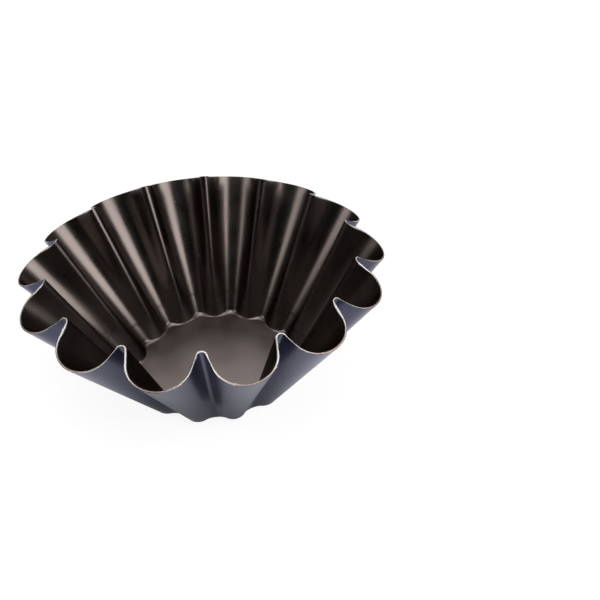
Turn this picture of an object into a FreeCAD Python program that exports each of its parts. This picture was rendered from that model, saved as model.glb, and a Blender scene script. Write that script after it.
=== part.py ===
"""A fluted brioche mould: one pressed steel shell with a non-stick lining inside and a lacquer coat outside.

The origin is the middle of the underside, +Z is up, sizes are millimetres and one lobe points along +X.
The wall is straight lines that run from a shallow foot outline to a deep mouth outline and end at the rim,
where one cone cuts them off. Lines join points that face the same way, so the sheet between two lines is a
flat strip. The three layers are nested: each lies between two skins of this form at different depths.
"""
import FreeCAD, Part
import math
import os
from collections import namedtuple

DIMENSIONS = [
    ("rim_diameter", 140.0, "over the lobes, at the cut rim"),
    ("mouth_groove_diameter", 117.4, "outside, over the grooves, level with the rim's highest points"),
    ("height", 59.0, "underside to the rim's highest points"),
    ("trim_angle", 30.0, "degrees that the rim's cut falls towards the lobes"),
    ("mouth_turn", 84.0, "degrees from a lobe's crown to its straight flank, at the mouth"),
    ("mouth_groove_radius", 1.3, "bend of a groove at the mouth, outside"),
    ("foot_diameter", 70.5, "over the lobes, where the wall leaves the corner bend"),
    ("foot_depth", 3.1, "depth of the grooves between the lobes, at the same level"),
    ("foot_lobe_radius", 4.6, "bend of a lobe at the foot, outside"),
    ("corner_radius", 2.3, "bend between floor and wall, outside"),
    ("steel_thickness", 0.5, "pressed sheet"),
    ("coat_thickness", 0.1, "lacquer outside"),
    ("lining_thickness", 0.1, "non-stick layer inside"),
    ("flute_count", 14, "lobes round the mould"),
    ("crown_strips", 5, "flat strips from a lobe's crown to where its foot turns into a groove"),
    ("fan_strips", 3, "flat strips that fan out above that turn, on each side of the flank"),
    ("groove_strips", 3, "flat strips from that turn to the bottom of a groove"),
    ("corner_strips", 2, "flat strips across the corner bend"),
]

UP = FreeCAD.Vector(0, 0, 1)

# A half flute seen from above: a lobe's arc centred on the X axis, then a groove's arc centred off it.
# Both arcs end where they face the turn angle, with a straight flank between them if they don't meet there.
Outline = namedtuple("Outline", "lobe_x lobe_radius groove_x groove_y groove_radius turn")

# One face of a layer: rings of corners up the corner bend, and the wall's corners at its foot and its rim.
Skin = namedtuple("Skin", "bend foot rim")


def make_sheet(doc):
    sheet = doc.addObject("Spreadsheet::Sheet", "Dimensions")
    for row, (alias, value, note) in enumerate(DIMENSIONS, start=1):
        sheet.set(f"A{row}", alias)
        sheet.set(f"B{row}", str(value))
        sheet.set(f"C{row}", note)
        sheet.setAlias(f"B{row}", alias)
    doc.recompute()
    return sheet


def half_pitch(sheet):
    return math.pi / int(sheet.flute_count)


def wall_lean(sheet):
    """The wall's mean angle from the vertical."""
    mouth = (sheet.rim_diameter + sheet.mouth_groove_diameter) / 4
    foot = (sheet.foot_diameter - sheet.foot_depth) / 2
    return math.atan2(mouth - foot, sheet.height)


def inset(sheet, depth):
    """How far inwards a skin at this depth lies, measured level."""
    return depth / math.cos(wall_lean(sheet))


def crest_radius(sheet):
    """Radius of the rim's highest points, on the ridges between the lobes, inside."""
    depth = sheet.coat_thickness + sheet.steel_thickness + sheet.lining_thickness
    return sheet.mouth_groove_diameter / 2 - inset(sheet, depth)


def trim_slope(sheet):
    return math.tan(math.radians(sheet.trim_angle))


def rim_level(sheet, radius):
    """Height of the rim's cut at a radius."""
    return sheet.height - trim_slope(sheet) * (radius - crest_radius(sheet))


def foot_level(sheet, depth):
    """Height at which the wall of a skin leaves the corner bend."""
    bend = sheet.corner_radius - depth
    return depth + bend * (1 - math.sin(wall_lean(sheet)))


def lobe_and_groove(sheet, depth, level):
    """Radii of a skin over its lobes and its grooves, at a level: straight from the foot upwards."""
    foot = foot_level(sheet, 0)
    lobe_foot = sheet.foot_diameter / 2
    lobe_rim = sheet.rim_diameter / 2
    lobe = lobe_foot + (lobe_rim - lobe_foot) * (level - foot) / (rim_level(sheet, lobe_rim) - foot)
    groove_foot = lobe_foot - sheet.foot_depth
    groove_top = sheet.mouth_groove_diameter / 2
    groove = groove_foot + (groove_top - groove_foot) * (level - foot) / (sheet.height - foot)
    return lobe - inset(sheet, depth), groove - inset(sheet, depth)


def foot_outline(sheet, depth):
    """Shallow flutes: a lobe's arc runs straight into a groove's arc, whose radius follows from the lobe's."""
    half = half_pitch(sheet)
    lobe, groove = lobe_and_groove(sheet, depth, foot_level(sheet, depth))
    radius = sheet.foot_lobe_radius - inset(sheet, depth)
    lobe_x = lobe - radius
    along = lobe_x * math.cos(half)
    groove_radius = (radius**2 - lobe_x**2 - groove**2 + 2 * along * groove) / (2 * (groove - along - radius))
    groove_x = (groove + groove_radius) * math.cos(half)
    groove_y = (groove + groove_radius) * math.sin(half)
    turn = math.atan2(groove_y, groove_x - lobe_x)
    return Outline(lobe_x, radius, groove_x, groove_y, groove_radius, turn)


def mouth_outline(sheet, depth):
    """Deep flutes: a straight flank touches both arcs, and the lobe's radius follows from its direction."""
    half = half_pitch(sheet)
    turn = math.radians(sheet.mouth_turn)
    lobe, groove = lobe_and_groove(sheet, depth, sheet.height)
    groove_radius = sheet.mouth_groove_radius + inset(sheet, depth)
    groove_x = (groove + groove_radius) * math.cos(half)
    groove_y = (groove + groove_radius) * math.sin(half)
    flank = groove_x * math.cos(turn) + groove_y * math.sin(turn) - groove_radius
    lobe_radius = (flank - lobe * math.cos(turn)) / (1 - math.cos(turn))
    return Outline(lobe - lobe_radius, lobe_radius, groove_x, groove_y, groove_radius, turn)


def grown(outline, distance):
    """The same outline moved outwards everywhere by a distance."""
    lobe_radius = outline.lobe_radius + distance
    groove_radius = outline.groove_radius - distance
    return outline._replace(lobe_radius=lobe_radius, groove_radius=groove_radius)


def lobe_point(outline, angle, level):
    x = outline.lobe_x + outline.lobe_radius * math.cos(angle)
    y = outline.lobe_radius * math.sin(angle)
    return FreeCAD.Vector(x, y, level)


def groove_point(outline, angle, level):
    x = outline.groove_x - outline.groove_radius * math.cos(angle)
    y = outline.groove_y - outline.groove_radius * math.sin(angle)
    return FreeCAD.Vector(x, y, level)


def steps(first, last, count):
    """Evenly spaced values from the first to the last, both included."""
    return [first + (last - first) * k / int(count) for k in range(int(count) + 1)]


def half_foot(sheet, outline, level):
    """Corners of half a flute at the foot, from the lobe's crown to the bottom of the groove."""
    lobe = steps(0, outline.turn, sheet.crown_strips)
    groove = steps(outline.turn, half_pitch(sheet), sheet.groove_strips)[1:]
    return [lobe_point(outline, a, level) for a in lobe] + [groove_point(outline, a, level) for a in groove]


def half_mouth(sheet, outline, foot_turn, level):
    """Corners of half a flute at the mouth, with the fans' extra corners on both sides of the flank."""
    lobe = steps(0, foot_turn, sheet.crown_strips) + steps(foot_turn, outline.turn, sheet.fan_strips)[1:]
    groove = steps(outline.turn, foot_turn, sheet.fan_strips)
    groove += steps(foot_turn, half_pitch(sheet), sheet.groove_strips)[1:]
    return [lobe_point(outline, a, level) for a in lobe] + [groove_point(outline, a, level) for a in groove]


def fanned(sheet, half):
    """Half a flute's foot with its turning point repeated, once for each line of the fans."""
    turning = int(sheet.crown_strips)
    lines = 2 * int(sheet.fan_strips) + 2
    return half[:turning] + [half[turning]] * lines + half[turning + 1:]


def cut_at_rim(sheet, low, high):
    """The point where the line from low through high meets the cone that cuts the rim."""
    rise = high - low
    taper = rise.z / trim_slope(sheet)
    reach = crest_radius(sheet) + (sheet.height - low.z) / trim_slope(sheet)
    a = rise.x**2 + rise.y**2 - taper**2
    b = 2 * (low.x * rise.x + low.y * rise.y + reach * taper)
    c = low.x**2 + low.y**2 - reach**2
    return low + rise * (-2 * c / (b + math.sqrt(b**2 - 4 * a * c)))


def all_round(sheet, half):
    """Half a flute's corners, mirrored and repeated round the axis."""
    mirrored = [FreeCAD.Vector(p.x, -p.y, p.z) for p in reversed(half[1:])]
    flute = mirrored + half[:-1]
    pitch = 2 * half_pitch(sheet)
    turns = [FreeCAD.Rotation(UP, math.degrees(pitch * k)) for k in range(int(sheet.flute_count))]
    return [turn.multVec(p) for turn in turns for p in flute]


def bend_rings(sheet, depth, foot):
    """Rings of corners from the floor's edge, up the corner bend, to the wall's foot."""
    bend = sheet.corner_radius - depth
    last = math.pi / 2 - wall_lean(sheet)
    rings = []
    for angle in steps(0, last, sheet.corner_strips):
        outline = grown(foot, bend * (math.sin(angle) - math.sin(last)))
        level = depth + bend * (1 - math.cos(angle))
        rings.append(all_round(sheet, half_foot(sheet, outline, level)))
    return rings


def make_skin(sheet, depth):
    """The mould's form at a depth under its outside."""
    foot = foot_outline(sheet, depth)
    low = fanned(sheet, half_foot(sheet, foot, foot_level(sheet, depth)))
    high = half_mouth(sheet, mouth_outline(sheet, depth), foot.turn, sheet.height)
    rim = [cut_at_rim(sheet, p, q) for p, q in zip(low, high)]
    return Skin(bend_rings(sheet, depth, foot), all_round(sheet, low), all_round(sheet, rim))


def flat_face(corners):
    return Part.Face(Part.makePolygon(corners + corners[:1]))


def next_pairs(ring):
    """Each corner of a ring with the one after it."""
    return zip(ring, ring[1:] + ring[:1])


def strips(lower, upper):
    """Flat strips between two rings, each a triangle where its two lower corners are one point."""
    faces = []
    for (low, low_next), (high, high_next) in zip(next_pairs(lower), next_pairs(upper)):
        base = [low] if low.isEqual(low_next, Part.Precision.confusion()) else [low, low_next]
        faces.append(flat_face(base + [high_next, high]))
    return faces


def rim_facets(outer, inner):
    """The cut edge of the sheet, as two triangles to each strip."""
    faces = []
    for (out, out_next), (into, into_next) in zip(next_pairs(outer), next_pairs(inner)):
        faces.append(flat_face([out, out_next, into]))
        faces.append(flat_face([out_next, into_next, into]))
    return faces


def skin_faces(skin):
    """Floor, corner bend and wall."""
    faces = [flat_face(skin.bend[0])]
    for lower, upper in zip(skin.bend, skin.bend[1:]):
        faces += strips(lower, upper)
    return faces + strips(skin.foot, skin.rim)


def make_layer(doc, name, outer, inner):
    """The solid between two skins, closed by the cut edge."""
    shell = Part.Shell(skin_faces(outer) + skin_faces(inner) + rim_facets(outer.rim, inner.rim))
    shell.sewShape()
    layer = doc.addObject("Part::Feature", name)
    layer.Label = name
    layer.Shape = Part.Solid(shell)
    return layer


def check(doc, layers):
    failed = [item.Name for item in doc.Objects if "Invalid" in item.State or "Error" in item.State]
    bad = [p.Label for p in layers if p.Shape.isNull() or not p.Shape.isValid() or p.Shape.Volume <= 0]
    if failed or bad:
        raise RuntimeError(f"failed objects: {failed}, bad shapes: {bad}")


def main():
    doc = FreeCAD.newDocument("BriocheMould")
    sheet = make_sheet(doc)
    steel_outside = sheet.coat_thickness
    steel_inside = steel_outside + sheet.steel_thickness
    depths = [0, steel_outside, steel_inside, steel_inside + sheet.lining_thickness]
    skins = [make_skin(sheet, depth) for depth in depths]
    names = ["outer_coat", "steel_shell", "nonstick_lining"]
    layers = [make_layer(doc, name, *pair) for name, pair in zip(names, zip(skins, skins[1:]))]
    doc.recompute()
    check(doc, layers)
    os.makedirs("parts", exist_ok=True)
    for layer in layers:
        layer.Shape.exportStep(f"parts/{layer.Label}.step")
        print(f"{layer.Label}: {layer.Shape.Volume:.1f} mm3, {len(layer.Shape.Faces)} faces")


main()
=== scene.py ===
import math

import bpy
import numpy as np
from mathutils import Matrix, Vector


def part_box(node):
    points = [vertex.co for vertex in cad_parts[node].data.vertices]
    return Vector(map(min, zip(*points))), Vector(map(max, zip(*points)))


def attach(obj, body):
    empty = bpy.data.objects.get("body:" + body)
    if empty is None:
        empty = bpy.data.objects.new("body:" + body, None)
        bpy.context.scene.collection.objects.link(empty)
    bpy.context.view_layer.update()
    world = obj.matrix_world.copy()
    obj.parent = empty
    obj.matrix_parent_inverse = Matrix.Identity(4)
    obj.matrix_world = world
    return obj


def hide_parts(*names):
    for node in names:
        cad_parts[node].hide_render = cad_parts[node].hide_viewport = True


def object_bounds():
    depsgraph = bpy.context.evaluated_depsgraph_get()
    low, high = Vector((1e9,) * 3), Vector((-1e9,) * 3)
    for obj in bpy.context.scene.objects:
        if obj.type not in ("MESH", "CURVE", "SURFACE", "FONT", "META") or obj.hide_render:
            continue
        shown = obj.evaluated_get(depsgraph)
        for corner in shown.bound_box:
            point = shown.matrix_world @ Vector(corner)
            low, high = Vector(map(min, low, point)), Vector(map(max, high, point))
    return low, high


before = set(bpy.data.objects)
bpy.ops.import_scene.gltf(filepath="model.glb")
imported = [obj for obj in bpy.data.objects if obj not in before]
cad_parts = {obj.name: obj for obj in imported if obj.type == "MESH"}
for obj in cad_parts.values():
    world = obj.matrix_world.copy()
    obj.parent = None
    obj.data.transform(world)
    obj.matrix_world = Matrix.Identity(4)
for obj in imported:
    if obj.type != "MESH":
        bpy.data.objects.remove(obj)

MM = 0.001
CAD_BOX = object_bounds()

# The mould's form, in metres: the same driving dimensions as the solids. The margin keeps the
# smooth lobes inside the solids' box.
BOX_MARGIN = 0.02 * MM
FLUTES = 14
HALF_PITCH = math.pi / FLUTES
RIM_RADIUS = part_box("outer_coat")[1][0] - BOX_MARGIN
HEIGHT = CAD_BOX[1][2]
MOUTH_GROOVE_RADIUS = 58.7 * MM
MOUTH_BEND = 1.3 * MM
MOUTH_TURN = math.radians(84)
TRIM_SLOPE = math.tan(math.radians(30))
FOOT_RADIUS = 35.25 * MM
FOOT_DEPTH = 3.1 * MM
FOOT_BEND = 4.6 * MM
CORNER_RADIUS = 2.3 * MM
COAT = 0.1 * MM
STEEL = 0.5 * MM
LINING = 0.1 * MM
WALL = COAT + STEEL + LINING
LEAN = math.atan2((RIM_RADIUS + MOUTH_GROOVE_RADIUS - 2 * FOOT_RADIUS + FOOT_DEPTH) / 2, HEIGHT)
CREST_RADIUS = MOUTH_GROOVE_RADIUS - WALL / math.cos(LEAN)

# Detail that the solids leave out: the corner bend at the ends of the lobes and of the grooves,
# and how far the coatings creep over the corners of the steel at the cut edge.
LOBE_CORNER = 3.9 * MM
GROOVE_CORNER = 1.0 * MM
EDGE_CREEP = 0.07 * MM

# Mesh fineness: columns across half a flute, rows on the wall, the corner bend and the floor,
# points along each fine arc of the mouth, and the angle above which an edge stays sharp.
COLUMNS = 30
WALL_ROWS = 26
BEND_ROWS = 7
FLOOR_ROWS = 5
ARC_POINTS = 200
SMOOTH_ANGLE = math.radians(35)

# Looks: the spread that most of a noise lies in, how far chips reach down from the cut edge,
# white, and how strongly the white ground glows.
NOISE_LOW, NOISE_HIGH = 0.3, 0.7
CHIP_REACH = 0.35 * MM
WHITE = (1, 1, 1, 1)
WHITE_PAINT = (0.9, 0.9, 0.9, 1)
GLOW_STRENGTH = 1.15

# The camera, fitted to the rim and the base in the photograph.
CAMERA_PLACE = Vector((16.94, -231.39, 212.01)) * MM
CAMERA_HEADING = math.radians(85.126)
CAMERA_PITCH = math.radians(-37.940)
CAMERA_ROLL = math.radians(-1.224)
CAMERA_LENS = 43.46
CAMERA_NEAR = 10 * MM
SENSOR_WIDTH = 36.0


def foot_level(depth):
    """Height at which the wall of a skin at this depth leaves the corner bend."""
    return depth + (CORNER_RADIUS - depth) * (1 - math.sin(LEAN))


def lobe_and_groove(depth, level):
    """Radii over the lobes and the grooves of a skin, at a level."""
    foot = foot_level(0)
    inset = depth / math.cos(LEAN)
    lobe_rise = HEIGHT - TRIM_SLOPE * (RIM_RADIUS - CREST_RADIUS) - foot
    lobe = FOOT_RADIUS + (RIM_RADIUS - FOOT_RADIUS) * (level - foot) / lobe_rise
    groove_rise = HEIGHT - foot
    groove_foot = FOOT_RADIUS - FOOT_DEPTH
    groove = groove_foot + (MOUTH_GROOVE_RADIUS - groove_foot) * (level - foot) / groove_rise
    return lobe - inset, groove - inset


def groove_middle(groove, bend):
    """Middle of the round bend of a groove, in plan."""
    out = groove + bend
    return out * math.cos(HALF_PITCH), out * math.sin(HALF_PITCH)


def lobe_arc(x, bend, angles):
    """Points of a lobe's arc that face these directions."""
    return np.stack([x + bend * np.cos(angles), bend * np.sin(angles)], axis=1)


def groove_arc(x, y, bend, angles):
    """Points of a groove's arc that face these directions."""
    return np.stack([x - bend * np.cos(angles), y - bend * np.sin(angles)], axis=1)


def foot_arcs(depth):
    """The foot's half flute, a lobe's arc that runs into a groove's.

    Given as the middle and bend of both arcs, and the direction that it faces where they meet.
    """
    lobe, groove = lobe_and_groove(depth, foot_level(depth))
    bend = FOOT_BEND - depth / math.cos(LEAN)
    lobe_x = lobe - bend
    along = lobe_x * math.cos(HALF_PITCH)
    groove_bend = bend**2 - lobe_x**2 - groove**2 + 2 * along * groove
    groove_bend /= 2 * (groove - along - bend)
    groove_x, groove_y = groove_middle(groove, groove_bend)
    turn = math.atan2(groove_y, groove_x - lobe_x)
    return lobe_x, bend, groove_x, groove_y, groove_bend, turn


def foot_line(depth, shares):
    """Points at shares of the length of the foot's half flute, and the directions they face."""
    lobe_x, bend, groove_x, groove_y, groove_bend, turn = foot_arcs(depth)
    lobe_length = bend * turn
    along = shares * (lobe_length + groove_bend * (turn - HALF_PITCH))
    on_lobe = along <= lobe_length
    angles = np.where(on_lobe, along / bend, turn - (along - lobe_length) / groove_bend)
    on_groove_arc = groove_arc(groove_x, groove_y, groove_bend, angles)
    return np.where(on_lobe[:, None], lobe_arc(lobe_x, bend, angles), on_groove_arc), angles


def mouth_line(depth):
    """The mouth's half flute as a fine line, and the directions that it faces.

    It is a lobe's arc, a straight flank and a groove's arc.
    """
    lobe, groove = lobe_and_groove(depth, HEIGHT)
    groove_bend = MOUTH_BEND + depth / math.cos(LEAN)
    groove_x, groove_y = groove_middle(groove, groove_bend)
    flank = groove_x * math.cos(MOUTH_TURN) + groove_y * math.sin(MOUTH_TURN) - groove_bend
    lobe_bend = (flank - lobe * math.cos(MOUTH_TURN)) / (1 - math.cos(MOUTH_TURN))
    out = np.linspace(0, MOUTH_TURN, ARC_POINTS)
    back = np.linspace(MOUTH_TURN, HALF_PITCH, ARC_POINTS)
    arcs = [lobe_arc(lobe - lobe_bend, lobe_bend, out),
            groove_arc(groove_x, groove_y, groove_bend, back)]
    return np.concatenate(arcs), np.concatenate([out, back])


def shares_along(steps):
    """Share of the whole way at which each step starts or ends."""
    along = np.concatenate([[0], np.cumsum(steps)])
    return along / along[-1]


def matched_columns(depth):
    """Mouth points, closer where the mouth turns, and the share of the foot that each runs down to.

    It is the same share of length at both ends, which keeps a groove's bend tight on its way down.
    """
    points, angles = mouth_line(depth)
    lengths = shares_along(np.linalg.norm(np.diff(points, axis=0), axis=1))
    turning = shares_along(np.abs(np.diff(angles)))
    columns = (lengths + turning) / 2
    wanted = np.linspace(0, 1, COLUMNS + 1)
    mouth = np.stack([np.interp(wanted, columns, points[:, axis]) for axis in (0, 1)], axis=1)
    return mouth, np.interp(wanted, columns, lengths)


def at_level(plan, level):
    return np.column_stack([plan, np.full(len(plan), level)])


def wall_lines(depth):
    """The straight lines of a skin's wall, over half a flute.

    Given as the foot and mouth points, the way that each foot point faces, and the foot's shares.
    """
    mouth, shares = matched_columns(depth)
    foot, angles = foot_line(depth, shares)
    facing = np.stack([np.cos(angles), np.sin(angles)], axis=1)
    return at_level(foot, foot_level(depth)), at_level(mouth, HEIGHT), facing, shares


def cone_points(low, high):
    """Where straight lines from the foot to the mouth meet the cone that cuts the rim."""
    rise = high - low
    taper = rise[:, 2] / TRIM_SLOPE
    reach = CREST_RADIUS + (HEIGHT - low[:, 2]) / TRIM_SLOPE
    a = (rise[:, :2] ** 2).sum(axis=1) - taper**2
    b = 2 * ((low[:, :2] * rise[:, :2]).sum(axis=1) + reach * taper)
    c = (low[:, :2] ** 2).sum(axis=1) - reach**2
    share = -2 * c / (b + np.sqrt(b**2 - 4 * a * c))
    return low + rise * share[:, None]


def square_cut(low, rim, deeper):
    """How much higher than the outer rim a deeper skin ends, with a cut square to the sheet."""
    mirrored = np.concatenate([rim[1:2] * (1, -1, 1), rim])
    along = np.gradient(mirrored, axis=0)[1:]
    normal = np.cross(rim - low, along)
    return deeper * np.abs(normal[:, 2]) / np.linalg.norm(normal, axis=1)


def rim_points(depth):
    """Ends of a skin's wall lines: on the cone outside, and square to the sheet from there in."""
    outer_low, outer_high, _, _ = wall_lines(0)
    outer_rim = cone_points(outer_low, outer_high)
    level = outer_rim[:, 2] + square_cut(outer_low, outer_rim, depth)
    low, high, _, _ = wall_lines(depth)
    share = (level - low[:, 2]) / (high - low)[:, 2]
    return low + (high - low) * share[:, None]


def edge_depth(depth):
    """Depth of a skin at the cut edge, where the coatings creep over the corners of the steel."""
    if depth in (0, WALL):
        return depth
    return depth + math.copysign(EDGE_CREEP, WALL / 2 - depth)


def corner_rows(wall, facing, bend, depth):
    """Rows of the corner bend, from the floor up to points on the wall, with a bend per column.

    They run in half way between square to the wall and straight to the axis, which keeps the lobes
    wide.
    """
    last = math.pi / 2 - LEAN
    inward = facing + wall[:, :2] / np.linalg.norm(wall[:, :2], axis=1)[:, None]
    inward /= np.linalg.norm(inward, axis=1)[:, None]
    rows = []
    for angle in np.linspace(0, last, BEND_ROWS + 1)[:-1]:
        pull = bend * (math.sin(last) - math.sin(angle))
        plan = wall[:, :2] - inward * pull[:, None]
        rows.append(np.column_stack([plan, depth + bend * (1 - math.cos(angle))]))
    return rows


def all_round(half):
    """Half a flute's points, mirrored and repeated round the axis."""
    flute = np.concatenate([half[:0:-1] * (1, -1, 1), half[:-1]])
    rings = []
    for k in range(FLUTES):
        turn = 2 * HALF_PITCH * k
        c, s = math.cos(turn), math.sin(turn)
        rings.append(flute @ np.array([[c, s, 0], [-s, c, 0], [0, 0, 1]]))
    return np.concatenate(rings)


def skin_rows(depth):
    """One face of a layer as rows of points: along the floor, up the corner bend and up the wall.

    The corner bend is wide at the ends of the lobes and tight at the grooves. The last row is the
    cut edge.
    """
    low, _, facing, shares = wall_lines(depth)
    rim = rim_points(depth)
    swing = (1 + np.cos(math.pi * shares)) / 2
    bend = GROOVE_CORNER + (LOBE_CORNER - GROOVE_CORNER) * swing - depth
    start = (depth + bend * (1 - math.sin(LEAN)) - low[:, 2]) / (rim - low)[:, 2]
    wall = low + (rim - low) * start[:, None]
    corner = corner_rows(wall, facing, bend, depth)
    floor_shares = np.linspace(0, 1, FLOOR_ROWS + 1)[1:-1]
    wall_shares = np.linspace(0, 1, WALL_ROWS + 1)[:-1]
    rows = [at_level(corner[0][:, :2] * share, depth) for share in floor_shares]
    rows += corner
    rows += [wall + (rim - wall) * share for share in wall_shares]
    rows.append(rim_points(edge_depth(depth)))
    return np.stack([all_round(row) for row in rows])


def grid_faces(row_count, column_count, first):
    """Quads between neighbouring rows of a ring-shaped grid whose numbering starts at first."""
    row, column = np.meshgrid(np.arange(row_count - 1), np.arange(column_count), indexing="ij")
    after = (column + 1) % column_count
    low, high = first + row * column_count, first + (row + 1) * column_count
    quads = np.stack([low + column, low + after, high + after, high + column], axis=-1)
    return quads.reshape(-1, 4).tolist()


def fan_faces(column_count, first, middle):
    """Triangles from the innermost row of a grid to the middle of the floor."""
    return [[middle, first + (k + 1) % column_count, first + k] for k in range(column_count)]


def layer_mesh(name, outer_depth, inner_depth):
    """The closed sheet between two skins, with the cut edge at the rim."""
    outer, inner = skin_rows(outer_depth), skin_rows(inner_depth)
    rows, columns = outer.shape[:2]
    count = rows * columns
    middles = [(0, 0, outer_depth), (0, 0, inner_depth)]
    points = np.concatenate([outer.reshape(-1, 3), inner.reshape(-1, 3), middles])
    faces = grid_faces(rows, columns, 0)
    faces += fan_faces(columns, 0, 2 * count)
    faces += [face[::-1] for face in grid_faces(rows, columns, count)]
    faces += [face[::-1] for face in fan_faces(columns, count, 2 * count + 1)]
    outer_rim, inner_rim = count - columns, 2 * count - columns
    for k in range(columns):
        after = (k + 1) % columns
        faces.append([outer_rim + k, outer_rim + after, inner_rim + after, inner_rim + k])
    mesh = bpy.data.meshes.new(name)
    mesh.from_pydata(points.tolist(), [], faces)
    mesh.validate()
    mesh.shade_smooth()
    mesh.set_sharp_from_angle(angle=SMOOTH_ANGLE)
    return mesh


def add_layer(name, node, outer_depth, inner_depth, material):
    piece = bpy.data.objects.new(name, layer_mesh(name, outer_depth, inner_depth))
    bpy.context.scene.collection.objects.link(piece)
    piece.data.materials.append(material)
    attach(piece, "root")
    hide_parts(node)


def new_material(name):
    """A node material, its tree and its Principled shader."""
    material = bpy.data.materials.new(name)
    material.use_nodes = True
    tree = material.node_tree
    return material, tree, tree.nodes["Principled BSDF"]


def object_place(tree):
    """Socket of the place on the object, in metres."""
    return tree.nodes.new("ShaderNodeTexCoord").outputs["Object"]


def place_parts(tree):
    """Sockets of the X, Y and Z of the place on the object."""
    parts = tree.nodes.new("ShaderNodeSeparateXYZ")
    tree.links.new(object_place(tree), parts.inputs["Vector"])
    return parts.outputs


def add_noise(tree, scale, detail, roughness=0.5):
    noise = tree.nodes.new("ShaderNodeTexNoise")
    noise.inputs["Scale"].default_value = scale
    noise.inputs["Detail"].default_value = detail
    noise.inputs["Roughness"].default_value = roughness
    tree.links.new(object_place(tree), noise.inputs["Vector"])
    return noise.outputs["Fac"]


def add_range(tree, value, low, high, start=NOISE_LOW, end=NOISE_HIGH):
    """A value between start and end spread over low to high."""
    spread = tree.nodes.new("ShaderNodeMapRange")
    spread.inputs["From Min"].default_value = start
    spread.inputs["From Max"].default_value = end
    spread.inputs["To Min"].default_value = low
    spread.inputs["To Max"].default_value = high
    tree.links.new(value, spread.inputs["Value"])
    return spread.outputs["Result"]


def add_blend(tree, value, first, second):
    """A blend from the first colour to the second, each a plain colour or the socket of one."""
    mix = tree.nodes.new("ShaderNodeMix")
    mix.data_type = "RGBA"
    tree.links.new(value, mix.inputs["Factor"])
    for name, colour in (("A", first), ("B", second)):
        if isinstance(colour, tuple):
            mix.inputs[name].default_value = (*colour, 1)
        else:
            tree.links.new(colour, mix.inputs[name])
    return mix.outputs["Result"]


def add_math(tree, operation, *values):
    """A sum or another operation on values, each a number or a socket."""
    node = tree.nodes.new("ShaderNodeMath")
    node.operation = operation
    for socket, value in zip(node.inputs, values):
        if isinstance(value, float):
            socket.default_value = value
        else:
            tree.links.new(value, socket)
    return node.outputs["Value"]


def add_bump(tree, height, strength, distance, normal=None):
    bump = tree.nodes.new("ShaderNodeBump")
    bump.inputs["Strength"].default_value = strength
    bump.inputs["Distance"].default_value = distance
    tree.links.new(height, bump.inputs["Height"])
    if normal is not None:
        tree.links.new(normal, bump.inputs["Normal"])
    return bump.outputs["Normal"]


def add_specks(tree, cell, size):
    """One where a tiny ball round a random point, one to a cell, meets the surface, else zero."""
    cells = tree.nodes.new("ShaderNodeTexVoronoi")
    cells.inputs["Scale"].default_value = 1 / cell
    tree.links.new(object_place(tree), cells.inputs["Vector"])
    edge = size / cell
    return add_range(tree, cells.outputs["Distance"], 1, 0, start=edge / 2, end=edge)


def add_step(tree, low, high):
    """Zero below the low level and one above the high level."""
    return add_range(tree, place_parts(tree)["Z"], 0, 1, start=low, end=high)


def add_chips(tree):
    """One in small scattered chips that reach a little way down from the cut edge, else zero."""
    parts = place_parts(tree)
    across = tree.nodes.new("ShaderNodeCombineXYZ")
    tree.links.new(parts["X"], across.inputs["X"])
    tree.links.new(parts["Y"], across.inputs["Y"])
    radius = tree.nodes.new("ShaderNodeVectorMath")
    radius.operation = "LENGTH"
    tree.links.new(across.outputs["Vector"], radius.inputs[0])
    cone = add_math(tree, "MULTIPLY_ADD", radius.outputs["Value"], TRIM_SLOPE, parts["Z"])
    edge = HEIGHT + TRIM_SLOPE * CREST_RADIUS
    near = add_range(tree, cone, 0, 1, start=edge - CHIP_REACH, end=edge)
    grain = add_noise(tree, scale=1300, detail=2)
    chips = add_range(tree, grain, 0, 1, start=0.6, end=0.68)
    return add_math(tree, "MULTIPLY", near, chips)


def lining_material():
    """Satin brown-black non-stick: fine peel, cloudy gloss, slow waves, a faint press mark, specks.

    The floor is coloured paler than the wall, a painted sheen, and is made duller.
    """
    wall_dark, wall_pale = (0.108, 0.094, 0.088), (0.13, 0.113, 0.106)
    # Paler floor colours: a painted sheen on the floor.
    painted_sheen_dark, painted_sheen_pale = (0.142, 0.122, 0.116), (0.174, 0.149, 0.142)
    speck, chip = (0.4, 0.37, 0.35), (0.36, 0.33, 0.3)
    material, tree, shader = new_material("nonstick_lining")
    clouds = add_noise(tree, scale=90, detail=3)
    peel = add_noise(tree, scale=2600, detail=2)
    waves = add_noise(tree, scale=55, detail=1)
    specks = add_specks(tree, cell=8.5 * MM, size=0.4 * MM)
    above_floor = add_step(tree, 0.9 * MM, 1.7 * MM)
    press_mark = add_step(tree, 8.4 * MM, 9.6 * MM)
    cloudy = add_range(tree, clouds, 0, 1)
    wall = add_blend(tree, cloudy, wall_dark, wall_pale)
    floor_painted_sheen = add_blend(tree, cloudy, painted_sheen_dark, painted_sheen_pale)
    # Below about a millimetre the floor takes the paler colour, a painted sheen; the wall above
    # keeps its own.
    colour = add_blend(tree, above_floor, floor_painted_sheen, wall)
    colour = add_blend(tree, specks, colour, speck)
    colour = add_blend(tree, add_chips(tree), colour, chip)
    gloss = add_range(tree, clouds, 0.26, 0.33)
    dull = add_range(tree, above_floor, 0.03, 0, start=0, end=1)
    normal = add_bump(tree, waves, strength=0.15, distance=0.4 * MM)
    normal = add_bump(tree, press_mark, strength=1, distance=0.06 * MM, normal=normal)
    normal = add_bump(tree, peel, strength=0.06, distance=0.05 * MM, normal=normal)
    tree.links.new(colour, shader.inputs["Base Color"])
    tree.links.new(add_math(tree, "ADD", gloss, dull), shader.inputs["Roughness"])
    tree.links.new(normal, shader.inputs["Normal"])
    shader.inputs["Metallic"].default_value = 1.0
    shader.inputs["Specular Tint"].default_value = (0.32, 0.29, 0.27, 1)
    return material


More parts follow.
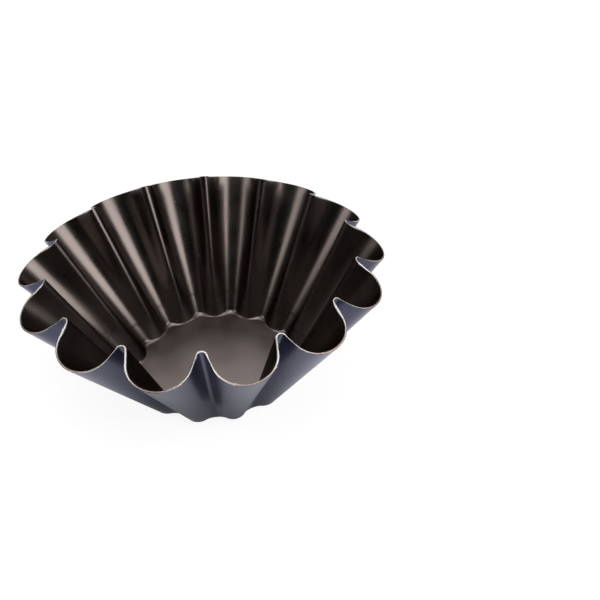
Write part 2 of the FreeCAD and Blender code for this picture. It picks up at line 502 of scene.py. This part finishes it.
def coat_material():
    """Navy metallic lacquer: a faint peel, a slow change of tone, chips at the cut edge, scuffs.

    Only the underside and the lowest edge of the foot are scuffed.
    """
    dark, pale = (0.062, 0.064, 0.094), (0.076, 0.078, 0.112)
    scuff, chip = (0.2, 0.2, 0.22), (0.4, 0.39, 0.38)
    material, tree, shader = new_material("navy_lacquer")
    clouds = add_noise(tree, scale=60, detail=3)
    peel = add_noise(tree, scale=1800, detail=2)
    rubs = add_noise(tree, scale=420, detail=4, roughness=0.6)
    scuffs = add_range(tree, rubs, 0, 1, start=0.45, end=0.62)
    above_foot = add_step(tree, 0.1 * MM, 0.5 * MM)
    on_foot = add_range(tree, above_foot, 1, 0, start=0, end=1)
    scuffed = add_math(tree, "MULTIPLY", scuffs, on_foot)
    colour = add_blend(tree, add_range(tree, clouds, 0, 1), dark, pale)
    colour = add_blend(tree, scuffed, colour, scuff)
    colour = add_blend(tree, add_chips(tree), colour, chip)
    gloss = add_range(tree, clouds, 0.24, 0.31)
    dull = add_range(tree, scuffed, 0, 0.15, start=0, end=1)
    normal = add_bump(tree, peel, strength=0.05, distance=0.05 * MM)
    tree.links.new(colour, shader.inputs["Base Color"])
    tree.links.new(add_math(tree, "ADD", gloss, dull), shader.inputs["Roughness"])
    tree.links.new(normal, shader.inputs["Normal"])
    shader.inputs["Metallic"].default_value = 1.0
    shader.inputs["Specular Tint"].default_value = (0.92, 0.92, 1.0, 1)
    return material


def steel_material():
    """Bare sheared steel with short shear marks: bright on the ridges, tan where the edge dips."""
    dull, shiny, tan = (0.66, 0.65, 0.63), (0.8, 0.79, 0.77), (0.44, 0.35, 0.27)
    material, tree, shader = new_material("cut_steel")
    marks = add_noise(tree, scale=2200, detail=3, roughness=0.7)
    bright = add_blend(tree, add_range(tree, marks, 0, 1), dull, shiny)
    on_ridges = add_step(tree, 52.2 * MM, 54.6 * MM)
    normal = add_bump(tree, marks, strength=0.1, distance=0.03 * MM)
    tree.links.new(add_blend(tree, on_ridges, tan, bright), shader.inputs["Base Color"])
    tree.links.new(add_range(tree, marks, 0.55, 0.68), shader.inputs["Roughness"])
    tree.links.new(normal, shader.inputs["Normal"])
    shader.inputs["Metallic"].default_value = 1.0
    return material


def add_ring(tree, low, high, inner, outer, middle):
    """A value that rises from low inside the inner radius round the middle to high outside."""
    radius = tree.nodes.new("ShaderNodeVectorMath")
    radius.operation = "DISTANCE"
    radius.inputs[1].default_value = middle
    tree.links.new(object_place(tree), radius.inputs[0])
    return add_range(tree, radius.outputs["Value"], low, high, start=inner, end=outer)


def add_shader_mix(tree, share, below, above):
    """A shader that shows a share of the one above over the one below."""
    mix = tree.nodes.new("ShaderNodeMixShader")
    tree.links.new(share, mix.inputs["Fac"])
    tree.links.new(below, mix.inputs[1])
    tree.links.new(above, mix.inputs[2])
    return mix.outputs["Shader"]


def add_glow(tree, ray, share, below):
    """A white glow that one kind of ray sees as a share of the surface, and its strength socket."""
    light_path = tree.nodes.new("ShaderNodeLightPath")
    seen = add_math(tree, "MULTIPLY", light_path.outputs[ray], share)
    glow = tree.nodes.new("ShaderNodeEmission")
    glow.inputs["Color"].default_value = WHITE
    glow.inputs["Strength"].default_value = GLOW_STRENGTH
    surface = add_shader_mix(tree, seen, below, glow.outputs["Emission"])
    return surface, glow.inputs["Strength"]


def white_material(name, eye_share, gloss_share, shade=None):
    """White paint with a glow that makes it whiter, with less shadow, to the eye and in gloss.

    With a shade, which is a low strength, two radii and a middle, gloss finds the ground darker
    close to the mould: a painted shadow of the mould in the floor's glow.
    """
    material, tree, shader = new_material(name)
    tree.nodes.remove(shader)
    paint = tree.nodes.new("ShaderNodeBsdfDiffuse")
    paint.inputs["Color"].default_value = WHITE_PAINT
    surface, strength = add_glow(tree, "Is Glossy Ray", gloss_share, paint.outputs["BSDF"])
    if shade is not None:
        # The painted shadow: the glow that gloss sees is weaker close to the mould.
        tree.links.new(add_ring(tree, high=GLOW_STRENGTH, **shade), strength)
    surface, _ = add_glow(tree, "Is Camera Ray", eye_share, surface)
    tree.links.new(surface, tree.nodes["Material Output"].inputs["Surface"])
    return material


def add_sheet(name, corners, material):
    mesh = bpy.data.meshes.new(name)
    mesh.from_pydata(corners, [], [(0, 1, 2, 3)])
    mesh.materials.append(material)
    sheet = bpy.data.objects.new(name, mesh)
    bpy.context.scene.collection.objects.link(sheet)


def add_ground():
    """A floor and, out of sight, a backdrop behind and a ceiling above that the gloss mirrors."""
    reach, back, side, top = 4.0, 1.2, 0.8, 2.6
    level = -0.1 * MM
    floor = [(-reach, -reach, level), (reach, -reach, level),
             (reach, reach, level), (-reach, reach, level)]
    backdrop = [(-side, back, level), (side, back, level), (side, back, top), (-side, back, top)]
    ceiling = [(-back, -side, top), (back, -side, top), (back, back, top), (-back, back, top)]
    # A painted shadow of the mould in the floor's glow as gloss sees it, reaching further out on
    # the left.
    painted_mould_shadow = {"low": 0.28, "inner": 38 * MM, "outer": 64 * MM, "middle": (-8 * MM, 0, 0)}
    paper = white_material("white_paper", eye_share=0.9, gloss_share=0.9)
    ground = white_material("white_floor", eye_share=0.78, gloss_share=0.9, shade=painted_mould_shadow)
    add_sheet("floor", floor, ground)
    add_sheet("backdrop", backdrop, paper)
    add_sheet("ceiling", ceiling, paper)


def add_softbox(name, azimuth, elevation, distance, width, height, radiance, colour):
    """A soft rectangular lamp that faces the mould, as bright as the radiance says."""
    lamp = bpy.data.lights.new(name, "AREA")
    lamp.shape = "RECTANGLE"
    lamp.size = width
    lamp.size_y = height
    lamp.energy = radiance * math.pi * width * height
    lamp.color = colour
    place = bpy.data.objects.new(name, lamp)
    turn, rise = math.radians(azimuth), math.radians(elevation)
    flat = math.cos(rise)
    out = Vector((flat * math.cos(turn), flat * math.sin(turn), math.sin(rise)))
    place.location = out * distance
    place.rotation_euler = out.to_track_quat("Z", "Y").to_euler()
    bpy.context.scene.collection.objects.link(place)


def add_lights():
    """Two warm boxes for the streaks inside, one from the top and a faint one from behind."""
    warm, plain = (1.0, 0.95, 0.93), (1.0, 1.0, 1.0)
    add_softbox("key_right", azimuth=-25, elevation=31, distance=1.0,
                width=0.84, height=0.62, radiance=4.5, colour=warm)
    add_softbox("fill_left", azimuth=-170, elevation=37, distance=1.0,
                width=0.65, height=0.5, radiance=2.7, colour=warm)
    add_softbox("top", azimuth=-90, elevation=75, distance=1.0,
                width=0.5, height=0.55, radiance=3.2, colour=plain)
    add_softbox("back_top", azimuth=85, elevation=58, distance=1.15,
                width=1.4, height=0.9, radiance=0.68, colour=warm)


def add_world():
    """A dim sky that the camera sees as white."""
    world = bpy.data.worlds.new("studio")
    world.use_nodes = True
    tree = world.node_tree
    dim = tree.nodes["Background"]
    dim.inputs["Color"].default_value = (0.9, 0.95, 1.0, 1)
    dim.inputs["Strength"].default_value = 0.005
    white = tree.nodes.new("ShaderNodeBackground")
    white.inputs["Color"].default_value = WHITE
    white.inputs["Strength"].default_value = 1
    to_camera = tree.nodes.new("ShaderNodeLightPath").outputs["Is Camera Ray"]
    sky = add_shader_mix(tree, to_camera, dim.outputs["Background"], white.outputs["Background"])
    tree.links.new(sky, tree.nodes["World Output"].inputs["Surface"])
    bpy.context.scene.world = world


def add_camera():
    camera = bpy.data.cameras.new("camera")
    camera.lens = CAMERA_LENS
    camera.sensor_width = SENSOR_WIDTH
    camera.clip_start = CAMERA_NEAR
    place = bpy.data.objects.new("camera", camera)
    heading = Matrix.Rotation(CAMERA_HEADING - math.pi / 2, 4, "Z")
    pitch = Matrix.Rotation(math.pi / 2 + CAMERA_PITCH, 4, "X")
    roll = Matrix.Rotation(CAMERA_ROLL, 4, "Z")
    place.matrix_world = Matrix.Translation(CAMERA_PLACE) @ heading @ pitch @ roll
    bpy.context.scene.collection.objects.link(place)
    bpy.context.scene.camera = place


def add_mould():
    add_layer("lacquer_skin", "outer_coat", 0, COAT, coat_material())
    add_layer("pressed_steel", "steel_shell", COAT, COAT + STEEL, steel_material())
    add_layer("nonstick_skin", "nonstick_lining", COAT + STEEL, WALL, lining_material())


add_mould()
add_ground()
add_lights()
add_world()
add_camera()
bpy.context.scene.view_settings.view_transform = "Standard"
